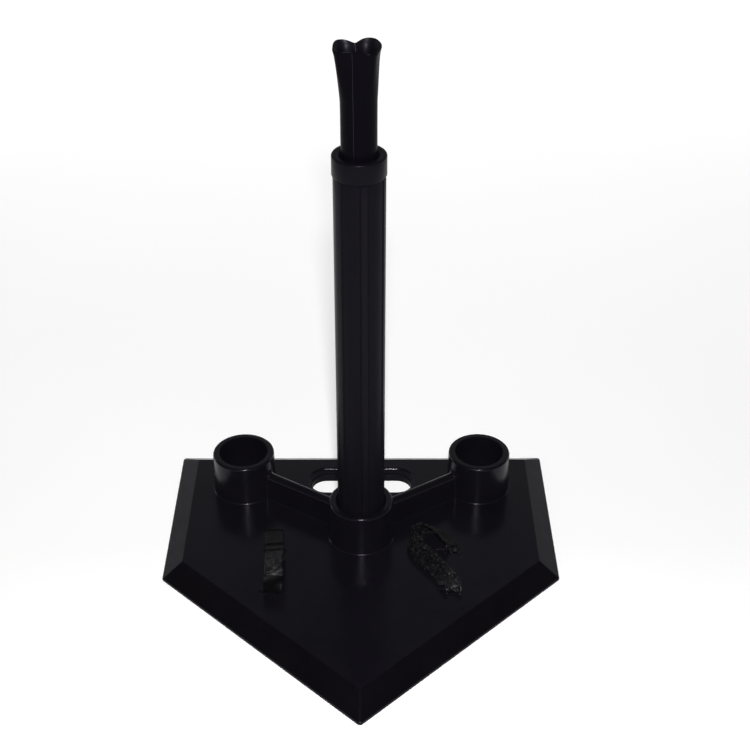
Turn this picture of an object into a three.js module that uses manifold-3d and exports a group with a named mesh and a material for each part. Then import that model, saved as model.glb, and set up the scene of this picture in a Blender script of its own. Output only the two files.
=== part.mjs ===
// Rubber batting tee: a home-plate base with three sockets, a fluted standing tube in the centre
// socket, a telescoping ball tube with a pinched cup, and two hook-and-loop straps that tie the
// tubes flat on the plate for carrying.
// Millimetres, +Z up. The origin is on the ground, on the axis of the centre socket; the point of
// the plate lies towards -Y.

import * as THREE from 'three';
import { ConvexGeometry } from 'three/addons/geometries/ConvexGeometry.js';
import { mergeVertices } from 'three/addons/utils/BufferGeometryUtils.js';
import Module from 'manifold-3d';

const wasm = await Module();
wasm.setup();

// ---- Driving dimensions ----

const FIT_GAP = 0.3;           // between pieces that touch
const SLIDE_GAP = 0.4;         // radial running clearance of the tubes

const PLATE = {
  halfWidth: 216,              // a 17 inch wide home plate
  back: 156.5,
  shoulder: -58.0,             // where the straight sides end
  point: -264.8,
  height: 17.3,
  lip: 3,                      // upright edge under the bevel
  bevel: 21.6,
  frontSpread: 1.1,            // the two front bevels are this much wider
};

const UNDERSIDE = { skin: 7, rim: 8, rib: 5, pitch: 50 };

const SOCKET = {
  sites: [[0, 0], [-135.2, 86.9], [135.2, 86.9]],
  padRadius: 40,
  footRadius: 36.2,
  topRadius: 34.95,
  height: 66,
  mouthRadius: 27.35,
  floorRadius: 26.7,
  floor: 6,
  fillet: 4,
  rim: 2.6,                    // rounding of the rim's outer edge
  chamfer: 0.8,
};

const WEB = { thickness: 11.6, draft: 1.4, top: 49.4 };   // upright walls between the sockets

const HANDLE = {
  centre: [0, 95.5],
  halfLength: 58,
  halfWidth: 20,
  corner: 17,
  step: 1.2,                   // the opening is this much larger above the step
  stepHeight: 8.3,
  rounding: 3.2,               // of the edge at the plate's top
  frame: 9,                    // solid rubber round the opening under the plate
};

const MAIN_TUBE = {
  ribs: 6,
  ribRadius: 26.1,
  valleyRadius: 25,
  boreRadius: 22.4,
  ribWidth: 12.5,              // degrees
  ribFlank: 2,                 // degrees
  firstRib: -79,               // degrees from +X, just right of the front
  top: 458,
};

const COLLAR = {
  outerRadius: 26.4,
  top: 479.5,
  lipRounding: 2,
  lipWidth: 5.4,
  spigotRadius: 22.1,
  spigotDepth: 20,
};

const BALL_TUBE = {
  radius: 17.25,
  boreRadius: 13.9,
  foot: 93.5,
  flareStart: 524,
  cupRadius: 22,
  cupWall: 3,
  top: 584.5,
  grooveRadius: 15.8,
  grooveStart: 97.2,
  grooveHeight: 10.6,
};

// How the cup's rim is pinched and swollen: [degrees from +X, reach outward, width in degrees,
// drop of the rim]. The back fold is the deep one, and the front of the rim is nearly straight.
const CUP_FOLDS = [
  [100, -9.4, 25, 2.6],
  [-104, -5.2, 30, 0.4],
  [48, 1.2, 18, 0],
  [148, 1.2, 18, 0],
  [-52, 3, 20, 1.1],
  [-146, 3, 20, 1.1],
];

const STRAP = {
  x: 94.5,
  width: 21.5,
  thickness: 2.2,
  patch: 1.2,
  frontSlot: -93,
  backSlot: -30,
  slotLength: 26,
  slotWidth: 5.4,
  hinge: 19.5,                 // height at which a tail leaves the run
  runHeight: 8.6,              // centre height of the stretch under the plate
};

const ROUND = 48;              // segments of the round pieces
const STATIONS = 20;           // sections along a strap's tail

// Stands an extruded shape up: the shape lies in the YZ plane and its depth runs along +X.
const UPRIGHT = new THREE.Matrix4().makeBasis(
  new THREE.Vector3(0, 1, 0),
  new THREE.Vector3(0, 0, 1),
  new THREE.Vector3(1, 0, 0),
);

// ---- Geometry helpers ----

function toSolid(geometry) {
  const bare = geometry.index ? geometry.toNonIndexed() : geometry.clone();
  bare.deleteAttribute('normal');
  bare.deleteAttribute('uv');
  const merged = mergeVertices(bare, 1e-4);
  return new wasm.Manifold(new wasm.Mesh({
    numProp: 3,
    vertProperties: new Float32Array(merged.attributes.position.array),
    triVerts: new Uint32Array(merged.index.array),
  }));
}

function toGeometry(solid) {
  const mesh = solid.getMesh();
  const geometry = new THREE.BufferGeometry();
  geometry.setAttribute('position', new THREE.BufferAttribute(new Float32Array(mesh.vertProperties), 3));
  geometry.setIndex(new THREE.BufferAttribute(new Uint32Array(mesh.triVerts), 1));
  geometry.computeVertexNormals();
  return geometry;
}

// A profile of [radius, height] points turned about +Z.
function turned(profile, segments = ROUND) {
  const points = profile.map(([r, z]) => new THREE.Vector2(r, z));
  return new THREE.LatheGeometry(points, segments).rotateX(Math.PI / 2);
}

function cylinder(radius, low, high, [x, y] = [0, 0]) {
  const height = high - low;
  const geometry = new THREE.CylinderGeometry(radius, radius, height, ROUND);
  return geometry.rotateX(Math.PI / 2).translate(x, y, low + height / 2);
}

function box(sizeX, sizeY, low, high, [x, y] = [0, 0]) {
  return new THREE.BoxGeometry(sizeX, sizeY, high - low).translate(x, y, (low + high) / 2);
}

function prism(shape, low, high, curveSegments = 10) {
  const options = { depth: high - low, bevelEnabled: false, curveSegments };
  return new THREE.ExtrudeGeometry(shape, options).translate(0, 0, low);
}

// Points of an arc in the (radius, height) plane, from one angle to another in degrees.
function arc([cx, cy], radius, from, to, steps) {
  const points = [];
  for (let i = 0; i <= steps; i += 1) {
    const angle = THREE.MathUtils.degToRad(from + ((to - from) * i) / steps);
    points.push([cx + radius * Math.cos(angle), cy + radius * Math.sin(angle)]);
  }
  return points;
}

// A flat strip that follows a 3-D centre line, or a stretch of it from one station to another.
// The path gives the centre line and the direction across the strip; the strip's outer face looks
// along across x tangent.
function ribbon({ centre, across }, width, thickness, [first, last] = [0, STATIONS], offset = 0) {
  const positions = [];
  const index = [];
  const steps = last - first;
  for (let i = first; i <= last; i += 1) {
    const t = i / STATIONS;
    const side = across.getPoint(t).normalize();
    const outward = side.clone().cross(centre.getTangent(t)).normalize();
    for (const [a, b] of [[-1, -1], [1, -1], [1, 1], [-1, 1]]) {
      const corner = centre.getPoint(t);
      corner.addScaledVector(side, (a * width) / 2);
      corner.addScaledVector(outward, offset + (b * thickness) / 2);
      positions.push(...corner.toArray());
    }
  }
  const quad = (a, b, c, d) => index.push(a, c, b, a, d, c);
  for (let i = 0; i < steps; i += 1) {
    for (let k = 0; k < 4; k += 1) {
      const next = (k + 1) % 4;
      const corners = [4 * i + k, 4 * i + next, 4 * i + 4 + next, 4 * i + 4 + k];
      if (k === 2) {
        corners.push(corners.shift());   // both broad faces split along the same diagonal
      }
      quad(...corners);
    }
  }
  quad(3, 2, 1, 0);
  quad(4 * steps, 4 * steps + 1, 4 * steps + 2, 4 * steps + 3);
  const geometry = new THREE.BufferGeometry();
  geometry.setAttribute('position', new THREE.Float32BufferAttribute(positions, 3));
  geometry.setIndex(index);
  return geometry;
}

// ---- Base plate ----

// The home-plate outline, moved inwards by an inset, as five [x, y] corners.
function plateOutline(inset) {
  const run = PLATE.shoulder - PLATE.point;
  const slant = Math.hypot(PLATE.halfWidth, run);
  const reach = (-PLATE.point * PLATE.halfWidth) / slant - inset * PLATE.frontSpread;
  const half = PLATE.halfWidth - inset;
  const shoulder = (run * half - slant * reach) / PLATE.halfWidth;
  const point = (-slant * reach) / PLATE.halfWidth;
  const back = PLATE.back - inset;
  return [[-half, back], [-half, shoulder], [0, point], [half, shoulder], [half, back]];
}

function plateSolid() {
  const layers = [[0, 0], [0, PLATE.lip], [PLATE.bevel, PLATE.height]];
  const points = layers.flatMap(([inset, z]) => (
    plateOutline(inset).map(([x, y]) => new THREE.Vector3(x, y, z))
  ));
  return toSolid(new ConvexGeometry(points));
}

function outlinePrism(inset, low, high) {
  const corners = plateOutline(inset).map(([x, y]) => new THREE.Vector2(x, y));
  return toSolid(prism(new THREE.Shape(corners), low, high));
}

// Points round the handle opening, moved outwards by an amount, at one height.
function handleRing(grow, z) {
  const [cx, cy] = HANDLE.centre;
  const { halfLength, halfWidth, corner } = HANDLE;
  const radius = corner + grow;
  const quarters = [[1, 1, 0], [-1, 1, 90], [-1, -1, 180], [1, -1, 270]];
  return quarters.flatMap(([sx, sy, start]) => {
    const middle = [cx + sx * (halfLength - corner), cy + sy * (halfWidth - corner)];
    return arc(middle, radius, start, start + 90, 8).map(([x, y]) => new THREE.Vector3(x, y, z));
  });
}

function handleBlock(low, high, growLow, growHigh = growLow) {
  const points = [...handleRing(growLow, low), ...handleRing(growHigh, high)];
  return toSolid(new ConvexGeometry(points));
}

// The finger opening: narrower below the step, with its top edge rounded over.
function handleOpening() {
  const { step, stepHeight, rounding } = HANDLE;
  const start = PLATE.height - rounding;
  const parts = [
    handleBlock(-1, stepHeight + 1, 0),
    handleBlock(stepHeight, start + 0.01, step),
    handleBlock(PLATE.height, PLATE.height + 2, step + rounding),
  ];
  const edge = arc([step + rounding, start], rounding, 180, 90, 4);
  for (let i = 0; i < 4; i += 1) {
    const [growLow, low] = edge[i];
    const [growHigh, high] = edge[i + 1];
    parts.push(handleBlock(low, high, growLow, growHigh));
  }
  return wasm.Manifold.union(parts);
}

// The waffle of pockets under the plate, less the solid pads round the sockets and the handle.
function undersidePockets() {
  const { skin, rim, rib, pitch } = UNDERSIDE;
  const ceiling = PLATE.height - skin;
  const cells = [];
  for (let x = -4.5; x <= 4.5; x += 1) {
    for (let y = -5; y <= 3; y += 1) {
      cells.push(toSolid(box(pitch - rib, pitch - rib, -1, ceiling, [x * pitch, y * pitch])));
    }
  }
  let pockets = wasm.Manifold.union(cells).intersect(outlinePrism(PLATE.bevel / 2 + rim, -2, ceiling));
  for (const site of SOCKET.sites) {
    pockets = pockets.subtract(toSolid(cylinder(SOCKET.padRadius, -3, ceiling + 1, site)));
  }
  return pockets.subtract(handleBlock(-3, ceiling + 1, HANDLE.frame));
}

function socketOuter(site) {
  const { padRadius, footRadius, topRadius, height, fillet, rim } = SOCKET;
  const filletArc = arc([footRadius + fillet, PLATE.height + fillet], fillet, 270, 180, 4);
  const rimArc = arc([topRadius - rim, height - rim], rim, 0, 90, 4);
  const profile = [[0, 0], [padRadius, 0], [padRadius, PLATE.height], ...filletArc, ...rimArc, [0, height]];
  return toSolid(turned(profile).translate(site[0], site[1], 0));
}

function socketBore(site) {
  const { floorRadius, mouthRadius, floor, height, chamfer } = SOCKET;
  const profile = [
    [0, floor],
    [floorRadius, floor],
    [mouthRadius, height - chamfer],
    [mouthRadius + chamfer, height + 0.1],
    [0, height + 0.1],
  ];
  return toSolid(turned(profile).translate(site[0], site[1], 0));
}

// An upright wall with a rounded top from the centre socket to a corner socket.
function socketWeb([x, y]) {
  const half = WEB.thickness / 2;
  const foot = PLATE.height - 2;
  const shape = new THREE.Shape();
  shape.moveTo(-half - WEB.draft, foot);
  shape.lineTo(half + WEB.draft, foot);
  shape.lineTo(half, WEB.top - half);
  shape.absarc(0, WEB.top - half, half, 0, Math.PI, false);
  const clear = SOCKET.mouthRadius + 4;
  const length = Math.hypot(x, y) - 2 * clear;
  const wall = new THREE.ExtrudeGeometry(shape, { depth: length, bevelEnabled: false, curveSegments: 8 });
  return toSolid(wall.translate(0, 0, clear).applyMatrix4(UPRIGHT).rotateZ(Math.atan2(y, x)));
}

function strapSlots() {
  const { x, slotLength, slotWidth, frontSlot, backSlot } = STRAP;
  const cutters = [];
  for (const side of [-1, 1]) {
    for (const y of [frontSlot, backSlot]) {
      cutters.push(toSolid(box(slotLength, slotWidth, -1, PLATE.height + 1, [side * x, y])));
    }
    const run = backSlot - frontSlot + slotWidth;
    const middle = (frontSlot + backSlot) / 2;
    cutters.push(toSolid(box(slotLength, run, -1, PLATE.height - UNDERSIDE.skin, [side * x, middle])));
  }
  return wasm.Manifold.union(cutters);
}

function basePlate() {
  let base = plateSolid().subtract(undersidePockets());
  for (const site of SOCKET.sites) {
    base = base.add(socketOuter(site));
  }
  for (const site of SOCKET.sites.slice(1)) {
    base = base.add(socketWeb(site));
  }
  for (const site of SOCKET.sites) {
    base = base.subtract(socketBore(site));
  }
  return toGeometry(base.subtract(handleOpening()).subtract(strapSlots()));
}

// ---- Tubes ----

function flutedOutline() {
  const { ribs, ribRadius, valleyRadius, ribWidth, ribFlank, firstRib } = MAIN_TUBE;
  const corners = [];
  const add = (radius, degrees) => {
    const angle = THREE.MathUtils.degToRad(degrees);
    corners.push(new THREE.Vector2(radius * Math.cos(angle), radius * Math.sin(angle)));
  };
  const pitch = 360 / ribs;
  const valley = pitch - ribWidth - 2 * ribFlank;
  for (let i = 0; i < ribs; i += 1) {
    const start = firstRib + i * pitch - ribWidth / 2;
    for (const part of [0, 0.5, 1]) {
      add(ribRadius, start + part * ribWidth);
    }
    for (const part of [0, 0.2, 0.4, 0.6, 0.8, 1]) {
      add(valleyRadius, start + ribWidth + ribFlank + part * valley);
    }
  }
  return new THREE.Shape(corners);
}

function mainTube() {
  const outline = flutedOutline();
  const bore = new THREE.Path().absarc(0, 0, MAIN_TUBE.boreRadius, 0, Math.PI * 2, true);
  outline.holes.push(bore);
  return prism(outline, SOCKET.floor + FIT_GAP, MAIN_TUBE.top, 24);
}

function tubeCollar() {
  const { outerRadius, top, lipRounding, lipWidth, spigotRadius, spigotDepth } = COLLAR;
  const bore = BALL_TUBE.radius + SLIDE_GAP;
  const foot = MAIN_TUBE.top - spigotDepth;
  const crest = [outerRadius - lipRounding, top - lipRounding];
  const hollow = [outerRadius - lipWidth, top - lipRounding];
  const profile = [
    [bore, foot],
    [spigotRadius, foot],
    [spigotRadius, MAIN_TUBE.top + FIT_GAP],
    [outerRadius - 0.8, MAIN_TUBE.top + FIT_GAP],
    [outerRadius, MAIN_TUBE.top + FIT_GAP + 0.8],
    ...arc(crest, lipRounding, 0, 90, 6),
    ...arc(hollow, lipRounding, 90, 160, 4),
    [bore, top - lipWidth],
    [bore, foot],
  ];
  return turned(profile);
}

function guideRing() {
  const inner = BALL_TUBE.grooveRadius + FIT_GAP;
  const outer = MAIN_TUBE.boreRadius - SLIDE_GAP;
  const low = BALL_TUBE.grooveStart + FIT_GAP;
  const high = low + BALL_TUBE.grooveHeight - 2 * FIT_GAP;
  const edge = 1;
  return turned([
    [inner, low],
    [outer - edge, low],
    [outer, low + edge],
    [outer, high - edge],
    [outer - edge, high],
    [inner, high],
    [inner, low],
  ]);
}

// How strongly a fold centred at one angle acts at another, 0 to 1; all in degrees.
function bump(angle, centre, width) {
  const away = THREE.MathUtils.euclideanModulo(angle - centre + 180, 360) - 180;
  return Math.exp(-((away / width) ** 2));
}

// The round tube flares to a cup whose wall folds in at the front and back, so that it makes two
// rounded lobes that flex apart when a bat clips them.
function ballTube() {
  const { radius, boreRadius, foot, flareStart, cupRadius, cupWall, top } = BALL_TUBE;
  const { grooveRadius, grooveStart, grooveHeight } = BALL_TUBE;
  const flare = (z) => THREE.MathUtils.clamp((z - flareStart) / (top - flareStart), 0, 1) ** 1.7;
  const outerAt = (z) => radius + (cupRadius - radius) * flare(z);
  const innerAt = (z) => boreRadius + (cupRadius - cupWall - boreRadius) * flare(z);
  const levels = [0, 0.12, 0.24, 0.36, 0.48, 0.6, 0.72, 0.84, 0.95].map((t) => (
    flareStart + t * (top - flareStart)
  ));
  const lipRadius = cupWall / 2;
  const lip = arc([cupRadius - lipRadius, top - lipRadius], lipRadius, 0, 180, 4);
  const profile = [
    [boreRadius, foot],
    [radius, foot],
    [radius, grooveStart],
    [grooveRadius, grooveStart],
    [grooveRadius, grooveStart + grooveHeight],
    [radius, grooveStart + grooveHeight],
    ...levels.map((z) => [outerAt(z), z]),
    ...lip,
    ...[...levels].reverse().map((z) => [innerAt(z), z]),
    [boreRadius, foot],
  ];
  const geometry = turned(profile, 60);
  const position = geometry.attributes.position;
  for (let i = 0; i < position.count; i += 1) {
    const x = position.getX(i);
    const y = position.getY(i);
    const z = position.getZ(i);
    const share = THREE.MathUtils.smoothstep(z, flareStart + 4, top);
    const angle = THREE.MathUtils.radToDeg(Math.atan2(y, x));
    let shift = 0;
    let drop = 0;
    for (const [centre, reach, width, fall] of CUP_FOLDS) {
      shift += share * reach * bump(angle, centre, width);
      drop += share * fall * bump(angle, centre, width);
    }
    const scale = 1 + shift / Math.hypot(x, y);
    position.setXYZ(i, x * scale, y * scale, z - drop);
  }
  return geometry;
}

// ---- Straps ----

// The stretch of webbing that passes under the plate and comes up through both slots.
function strapRun(side) {
  const { frontSlot, backSlot, thickness, hinge, runHeight, width, x } = STRAP;
  const half = thickness / 2;
  const top = hinge - half - FIT_GAP;   // clear of a tail's end as it swings
  const shape = new THREE.Shape([
    new THREE.Vector2(frontSlot - half, top),
    new THREE.Vector2(frontSlot - half, runHeight),
    new THREE.Vector2(frontSlot + half, runHeight - half),
    new THREE.Vector2(backSlot - half, runHeight - half),
    new THREE.Vector2(backSlot + half, runHeight),
    new THREE.Vector2(backSlot + half, top),
    new THREE.Vector2(backSlot - half, top),
    new THREE.Vector2(backSlot - half, runHeight + half),
    new THREE.Vector2(frontSlot + half, runHeight + half),
    new THREE.Vector2(frontSlot + half, top),
  ]);
  const options = { depth: width, bevelEnabled: false };
  const geometry = new THREE.ExtrudeGeometry(shape, options).translate(0, 0, -width / 2);
  return geometry.applyMatrix4(UPRIGHT).translate(side * x, 0, 0);
}

function spline(points) {
  return new THREE.CatmullRomCurve3(points.map((point) => new THREE.Vector3(...point)));
}

// A tail that only bends: [distance, height] points from its hinge line, swung by a heading.
function bentPath(side, y, degrees, points) {
  const heading = THREE.MathUtils.degToRad(degrees);
  const [cos, sin] = [Math.cos(heading), Math.sin(heading)];
  const centre = points.map(([u, v]) => [side * STRAP.x - u * sin, y + u * cos, STRAP.hinge + v]);
  return { centre: spline(centre), across: spline([[cos, sin, 0], [cos, sin, 0]]) };
}

// A tail that twists as it runs: [centre, across] stations, evenly spread over the path.
function twistedPath(stations) {
  return {
    centre: spline(stations.map(([centre]) => centre)),
    across: spline(stations.map(([, across]) => across)),
  };
}

const LEFT_FRONT = bentPath(-1, STRAP.frontSlot, 2.5, [
  [0, -0.3], [0, 8], [-1.5, 15.5], [2, 21.5], [11, 22.6], [28, 18.5], [44, 11], [57, 5.5],
]);

const LEFT_BACK = bentPath(-1, STRAP.backSlot, 5, [
  [0, -0.3], [0, 2], [3, 4.2], [10, 4.4], [21, 3.2], [31, 2.4],
]);

// The right strap is closed into a loop that has fallen over to the left: both tails lean in
// towards the loop's middle, and the front tail turns at the far end to meet the back one.
const RIGHT_FRONT = twistedPath([
  [[94.5, STRAP.frontSlot, 18.5], [1, 0, 0]],
  [[94.5, STRAP.frontSlot, 21.8], [1, 0, 0.05]],
  [[92, -86, 23.5], [0.9, 0.1, 0.3]],
  [[85.7, -74.5, 25], [0.76, 0.28, 0.57]],
  [[73.3, -56.4, 25.3], [0.56, 0.6, 0.58]],
  [[63, -41, 25.6], [0.54, 0.62, 0.59]],
  [[56, -25, 27], [0.2, 0.62, 0.76]],
  [[58, -13.5, 29], [0.12, 0.15, 0.98]],
  [[66.5, -7, 29.2], [0.1, -0.1, 0.99]],
]);

const RIGHT_BACK = twistedPath([
  [[94.5, STRAP.backSlot, 18.5], [1, 0, 0]],
  [[94.5, STRAP.backSlot, 21.2], [1, 0.05, -0.1]],
  [[93.5, -25, 23.6], [0.9, 0.35, -0.3]],
  [[88, -12.5, 25], [0.66, 0.57, -0.5]],
  [[80, -4.5, 27.4], [0.42, 0.6, -0.68]],
  [[73.2, -2.8, 29.2], [0.15, 0.35, -0.92]],
]);

function tail(path) {
  return ribbon(path, STRAP.width, STRAP.thickness);
}

// A patch of hook or loop tape sewn on the outer face of a tail.
function patch(path, stretch) {
  const offset = STRAP.thickness / 2 + FIT_GAP + STRAP.patch / 2;
  return ribbon(path, STRAP.width - 2, STRAP.patch, stretch, offset);
}

// ---- Materials ----

function material(color, roughness) {
  return new THREE.MeshStandardMaterial({ color, roughness, metalness: 0 });
}

function baseRubber() {
  return material(0x141416, 0.55);
}

function tubeRubber() {
  return material(0x121214, 0.42);
}

function ballTubeRubber() {
  return material(0x111113, 0.38);
}

function ringPlastic() {
  return material(0x1c1c1e, 0.5);
}

function webbing() {
  return material(0x101012, 0.85);
}

function loopTape() {
  return material(0x1b1b1e, 0.95);
}

function hookTape() {
  return material(0x17171a, 0.6);
}

// ---- Assembly ----

const tee = new THREE.Group();

function place(name, geometry, finish) {
  const mesh = new THREE.Mesh(geometry, finish);
  mesh.name = name;
  tee.add(mesh);
}

place('base_plate', basePlate(), baseRubber());
place('main_tube', mainTube(), tubeRubber());
place('tube_collar', tubeCollar(), tubeRubber());
place('guide_ring', guideRing(), ringPlastic());
place('ball_tube', ballTube(), ballTubeRubber());

place('left_strap_run', strapRun(-1), webbing());
place('left_strap_front_tail', tail(LEFT_FRONT), webbing());
place('left_strap_back_tail', tail(LEFT_BACK), webbing());
place('left_loop_patch', patch(LEFT_FRONT, [8, 19]), loopTape());
place('left_hook_patch', patch(LEFT_BACK, [7, 19]), hookTape());

place('right_strap_run', strapRun(1), webbing());
place('right_strap_front_tail', tail(RIGHT_FRONT), webbing());
place('right_strap_back_tail', tail(RIGHT_BACK), webbing());
place('right_loop_patch', patch(RIGHT_FRONT, [7, 14]), loopTape());
place('right_hook_patch', patch(RIGHT_BACK, [7, 17]), hookTape());

export default tee;
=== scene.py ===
import math
import random

import bmesh
import bpy
import numpy as np
from mathutils import Matrix, Vector


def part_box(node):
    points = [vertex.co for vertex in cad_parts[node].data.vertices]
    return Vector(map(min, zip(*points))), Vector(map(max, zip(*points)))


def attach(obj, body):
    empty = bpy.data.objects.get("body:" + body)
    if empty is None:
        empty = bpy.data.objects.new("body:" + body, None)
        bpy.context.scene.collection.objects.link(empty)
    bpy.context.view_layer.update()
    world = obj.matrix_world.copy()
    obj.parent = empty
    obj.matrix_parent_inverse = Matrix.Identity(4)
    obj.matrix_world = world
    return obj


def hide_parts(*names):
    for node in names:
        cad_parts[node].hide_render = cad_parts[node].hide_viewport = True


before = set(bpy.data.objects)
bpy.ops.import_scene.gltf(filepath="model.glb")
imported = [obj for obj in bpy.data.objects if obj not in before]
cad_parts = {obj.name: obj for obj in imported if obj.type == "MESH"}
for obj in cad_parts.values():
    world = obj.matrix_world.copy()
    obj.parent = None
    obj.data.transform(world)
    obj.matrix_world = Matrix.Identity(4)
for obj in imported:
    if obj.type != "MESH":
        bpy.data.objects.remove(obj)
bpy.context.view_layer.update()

MM = 0.001


# ---------------------------------------------------------------- mesh helpers

def link_mesh(name, verts, faces):
    mesh = bpy.data.meshes.new(name)
    mesh.from_pydata(verts, [], faces)
    piece = bpy.data.objects.new(name, mesh)
    bpy.context.scene.collection.objects.link(piece)
    return piece


def face_outward(mesh, merge=None):
    """Point every face outwards, after merging the points closer than a distance if one is given."""
    bm = bmesh.new()
    bm.from_mesh(mesh)
    if merge:
        bmesh.ops.remove_doubles(bm, verts=bm.verts, dist=merge)
    bmesh.ops.recalc_face_normals(bm, faces=bm.faces)
    bm.to_mesh(mesh)
    bm.free()


def finish_piece(piece, body, replaced, sharp):
    """Smooth a piece up to a sharp angle and let it ride on a CAD body, in place of CAD nodes."""
    face_outward(piece.data)
    piece.data.shade_smooth()
    piece.data.set_sharp_from_angle(angle=math.radians(sharp))
    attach(piece, body)
    if replaced:
        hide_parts(*replaced)
    return piece


def add_mesh(name, verts, faces, body, slot, replaced, sharp):
    """A new piece from points in millimetres."""
    piece = link_mesh(name, [[c * MM for c in v] for v in verts], faces)
    return finish_piece(piece, body, replaced, sharp)


def ring_faces(rows, count, closed=False):
    """Quads between rows of count points, each row a closed ring."""
    faces = []
    for i in range(rows if closed else rows - 1):
        j = (i + 1) % rows
        for k in range(count):
            n = (k + 1) % count
            faces.append((i * count + k, i * count + n, j * count + n, j * count + k))
    return faces


def add_wall(name, rings, body, slot, replaced, sharp):
    """A closed wall through rings of equal length, whose last ring joins the first."""
    verts = [point for ring in rings for point in ring]
    faces = ring_faces(len(rings), len(rings[0]), closed=True)
    return add_mesh(name, verts, faces, body, slot, replaced, sharp)


def polar(radius, degrees):
    angle = math.radians(degrees)
    return radius * math.cos(angle), radius * math.sin(angle)


def arc(centre, radius, start, end, steps):
    points = []
    for i in range(steps + 1):
        x, y = polar(radius, start + (end - start) * i / steps)
        points.append((centre[0] + x, centre[1] + y))
    return points


def circle(radius, z, segments, centre=(0, 0)):
    points = []
    for k in range(segments):
        x, y = polar(radius, 360 * k / segments)
        points.append((centre[0] + x, centre[1] + y, z))
    return points


def rectangle(centre, half_x, half_y):
    return [(centre[0] + sx * half_x, centre[1] + sy * half_y)
            for sx, sy in ((-1, -1), (-1, 1), (1, 1), (1, -1))]


def ease(value):
    """A smooth step from 0 to 1, flat outside."""
    value = min(1.0, max(0.0, value))
    return value * value * (3 - 2 * value)


# ---------------------------------------------------------------- booleans, in millimetres

MERGE = 1e-4


def capped(rings):
    """A throwaway solid through a stack of rings of equal length, closed by a face at each end."""
    count = len(rings[0])
    verts = [point for ring in rings for point in ring]
    faces = ring_faces(len(rings), count)
    faces.append(tuple(range(count)))
    faces.append(tuple(range((len(rings) - 1) * count, len(rings) * count)))
    piece = link_mesh("solid", verts, faces)
    face_outward(piece.data, MERGE)
    return piece


def turned(profile, centre, segments):
    """A throwaway solid of a [radius, height] profile turned about an upright axis."""
    return capped([circle(radius, z, segments, centre) for radius, z in profile])


def rounded_ring(corners, radius, z, steps):
    """A closed outline with each corner rounded, as points at one height."""
    points = []
    count = len(corners)
    for i, corner in enumerate(corners):
        here = Vector(corner)
        before = (Vector(corners[i - 1]) - here).normalized()
        after = (Vector(corners[(i + 1) % count]) - here).normalized()
        half = before.angle(after) / 2
        cut = radius / math.tan(half)
        centre = here + (before + after).normalized() * (radius / math.sin(half))
        start = here + before * cut - centre
        end = here + after * cut - centre
        sweep = start.angle_signed(end)
        for k in range(steps + 1):
            point = centre + Matrix.Rotation(-sweep * k / steps, 2) @ start
            points.append((point.x, point.y, z))
    return points


def box_block(centre, half_x, half_y, low, high, corner):
    corners = rectangle(centre, half_x, half_y)
    return capped([rounded_ring(corners, corner, z, 4) for z in (low, high)])


def combine(target, others, operation):
    """Boolean of a throwaway solid with others, which are used up."""
    for other in others:
        mod = target.modifiers.new("cut", "BOOLEAN")
        mod.operation = operation
        mod.solver = "MANIFOLD"
        mod.object = other
        graph = bpy.context.evaluated_depsgraph_get()
        mesh = bpy.data.meshes.new_from_object(target.evaluated_get(graph))
        target.modifiers.remove(mod)
        target.data = mesh
        bpy.data.objects.remove(other)
    return target


# ---------------------------------------------------------------- materials

def set_inputs(node, values):
    for name, value in values.items():
        node.inputs[name].default_value = value


def feed(tree, node, sources):
    for name, socket in sources.items():
        tree.links.new(socket, node.inputs[name])


def add_node(tree, kind, values, sources):
    """A node with some of its inputs set and others fed by earlier sockets."""
    node = tree.nodes.new(kind)
    set_inputs(node, values)
    feed(tree, node, sources)
    return node


def node_material(name):
    """A new material, with its tree, its shader and its object coordinates."""
    mat = bpy.data.materials.new(name)
    mat.use_nodes = True
    tree = mat.node_tree
    place = tree.nodes.new("ShaderNodeTexCoord").outputs["Object"]
    return mat, tree, tree.nodes["Principled BSDF"], place


def noise(tree, vector, scale, detail, rough):
    values = {"Scale": scale, "Detail": detail, "Roughness": rough}
    return add_node(tree, "ShaderNodeTexNoise", values, {"Vector": vector}).outputs["Fac"]


def remap(tree, value, low, high, to_low, to_high):
    values = {"From Min": low, "From Max": high, "To Min": to_low, "To Max": to_high}
    return add_node(tree, "ShaderNodeMapRange", values, {"Value": value}).outputs["Result"]


def stretched(tree, vector, scale):
    return add_node(tree, "ShaderNodeMapping", {"Scale": scale}, {"Vector": vector}).outputs["Vector"]


def split(tree, vector):
    return add_node(tree, "ShaderNodeSeparateXYZ", {}, {"Vector": vector}).outputs


def bump(tree, height, strength, distance, normal=None):
    sources = {"Height": height, "Normal": normal} if normal else {"Height": height}
    values = {"Strength": strength, "Distance": distance}
    return add_node(tree, "ShaderNodeBump", values, sources).outputs["Normal"]


def ramp(tree, value, stops):
    node = add_node(tree, "ShaderNodeValToRGB", {}, {"Fac": value})
    elements = node.color_ramp.elements
    while len(elements) < len(stops):
        elements.new(0.5)
    for element, (at, colour) in zip(elements, stops):
        element.position = at
        element.color = (*colour, 1)
    return node.outputs["Color"]


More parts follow.
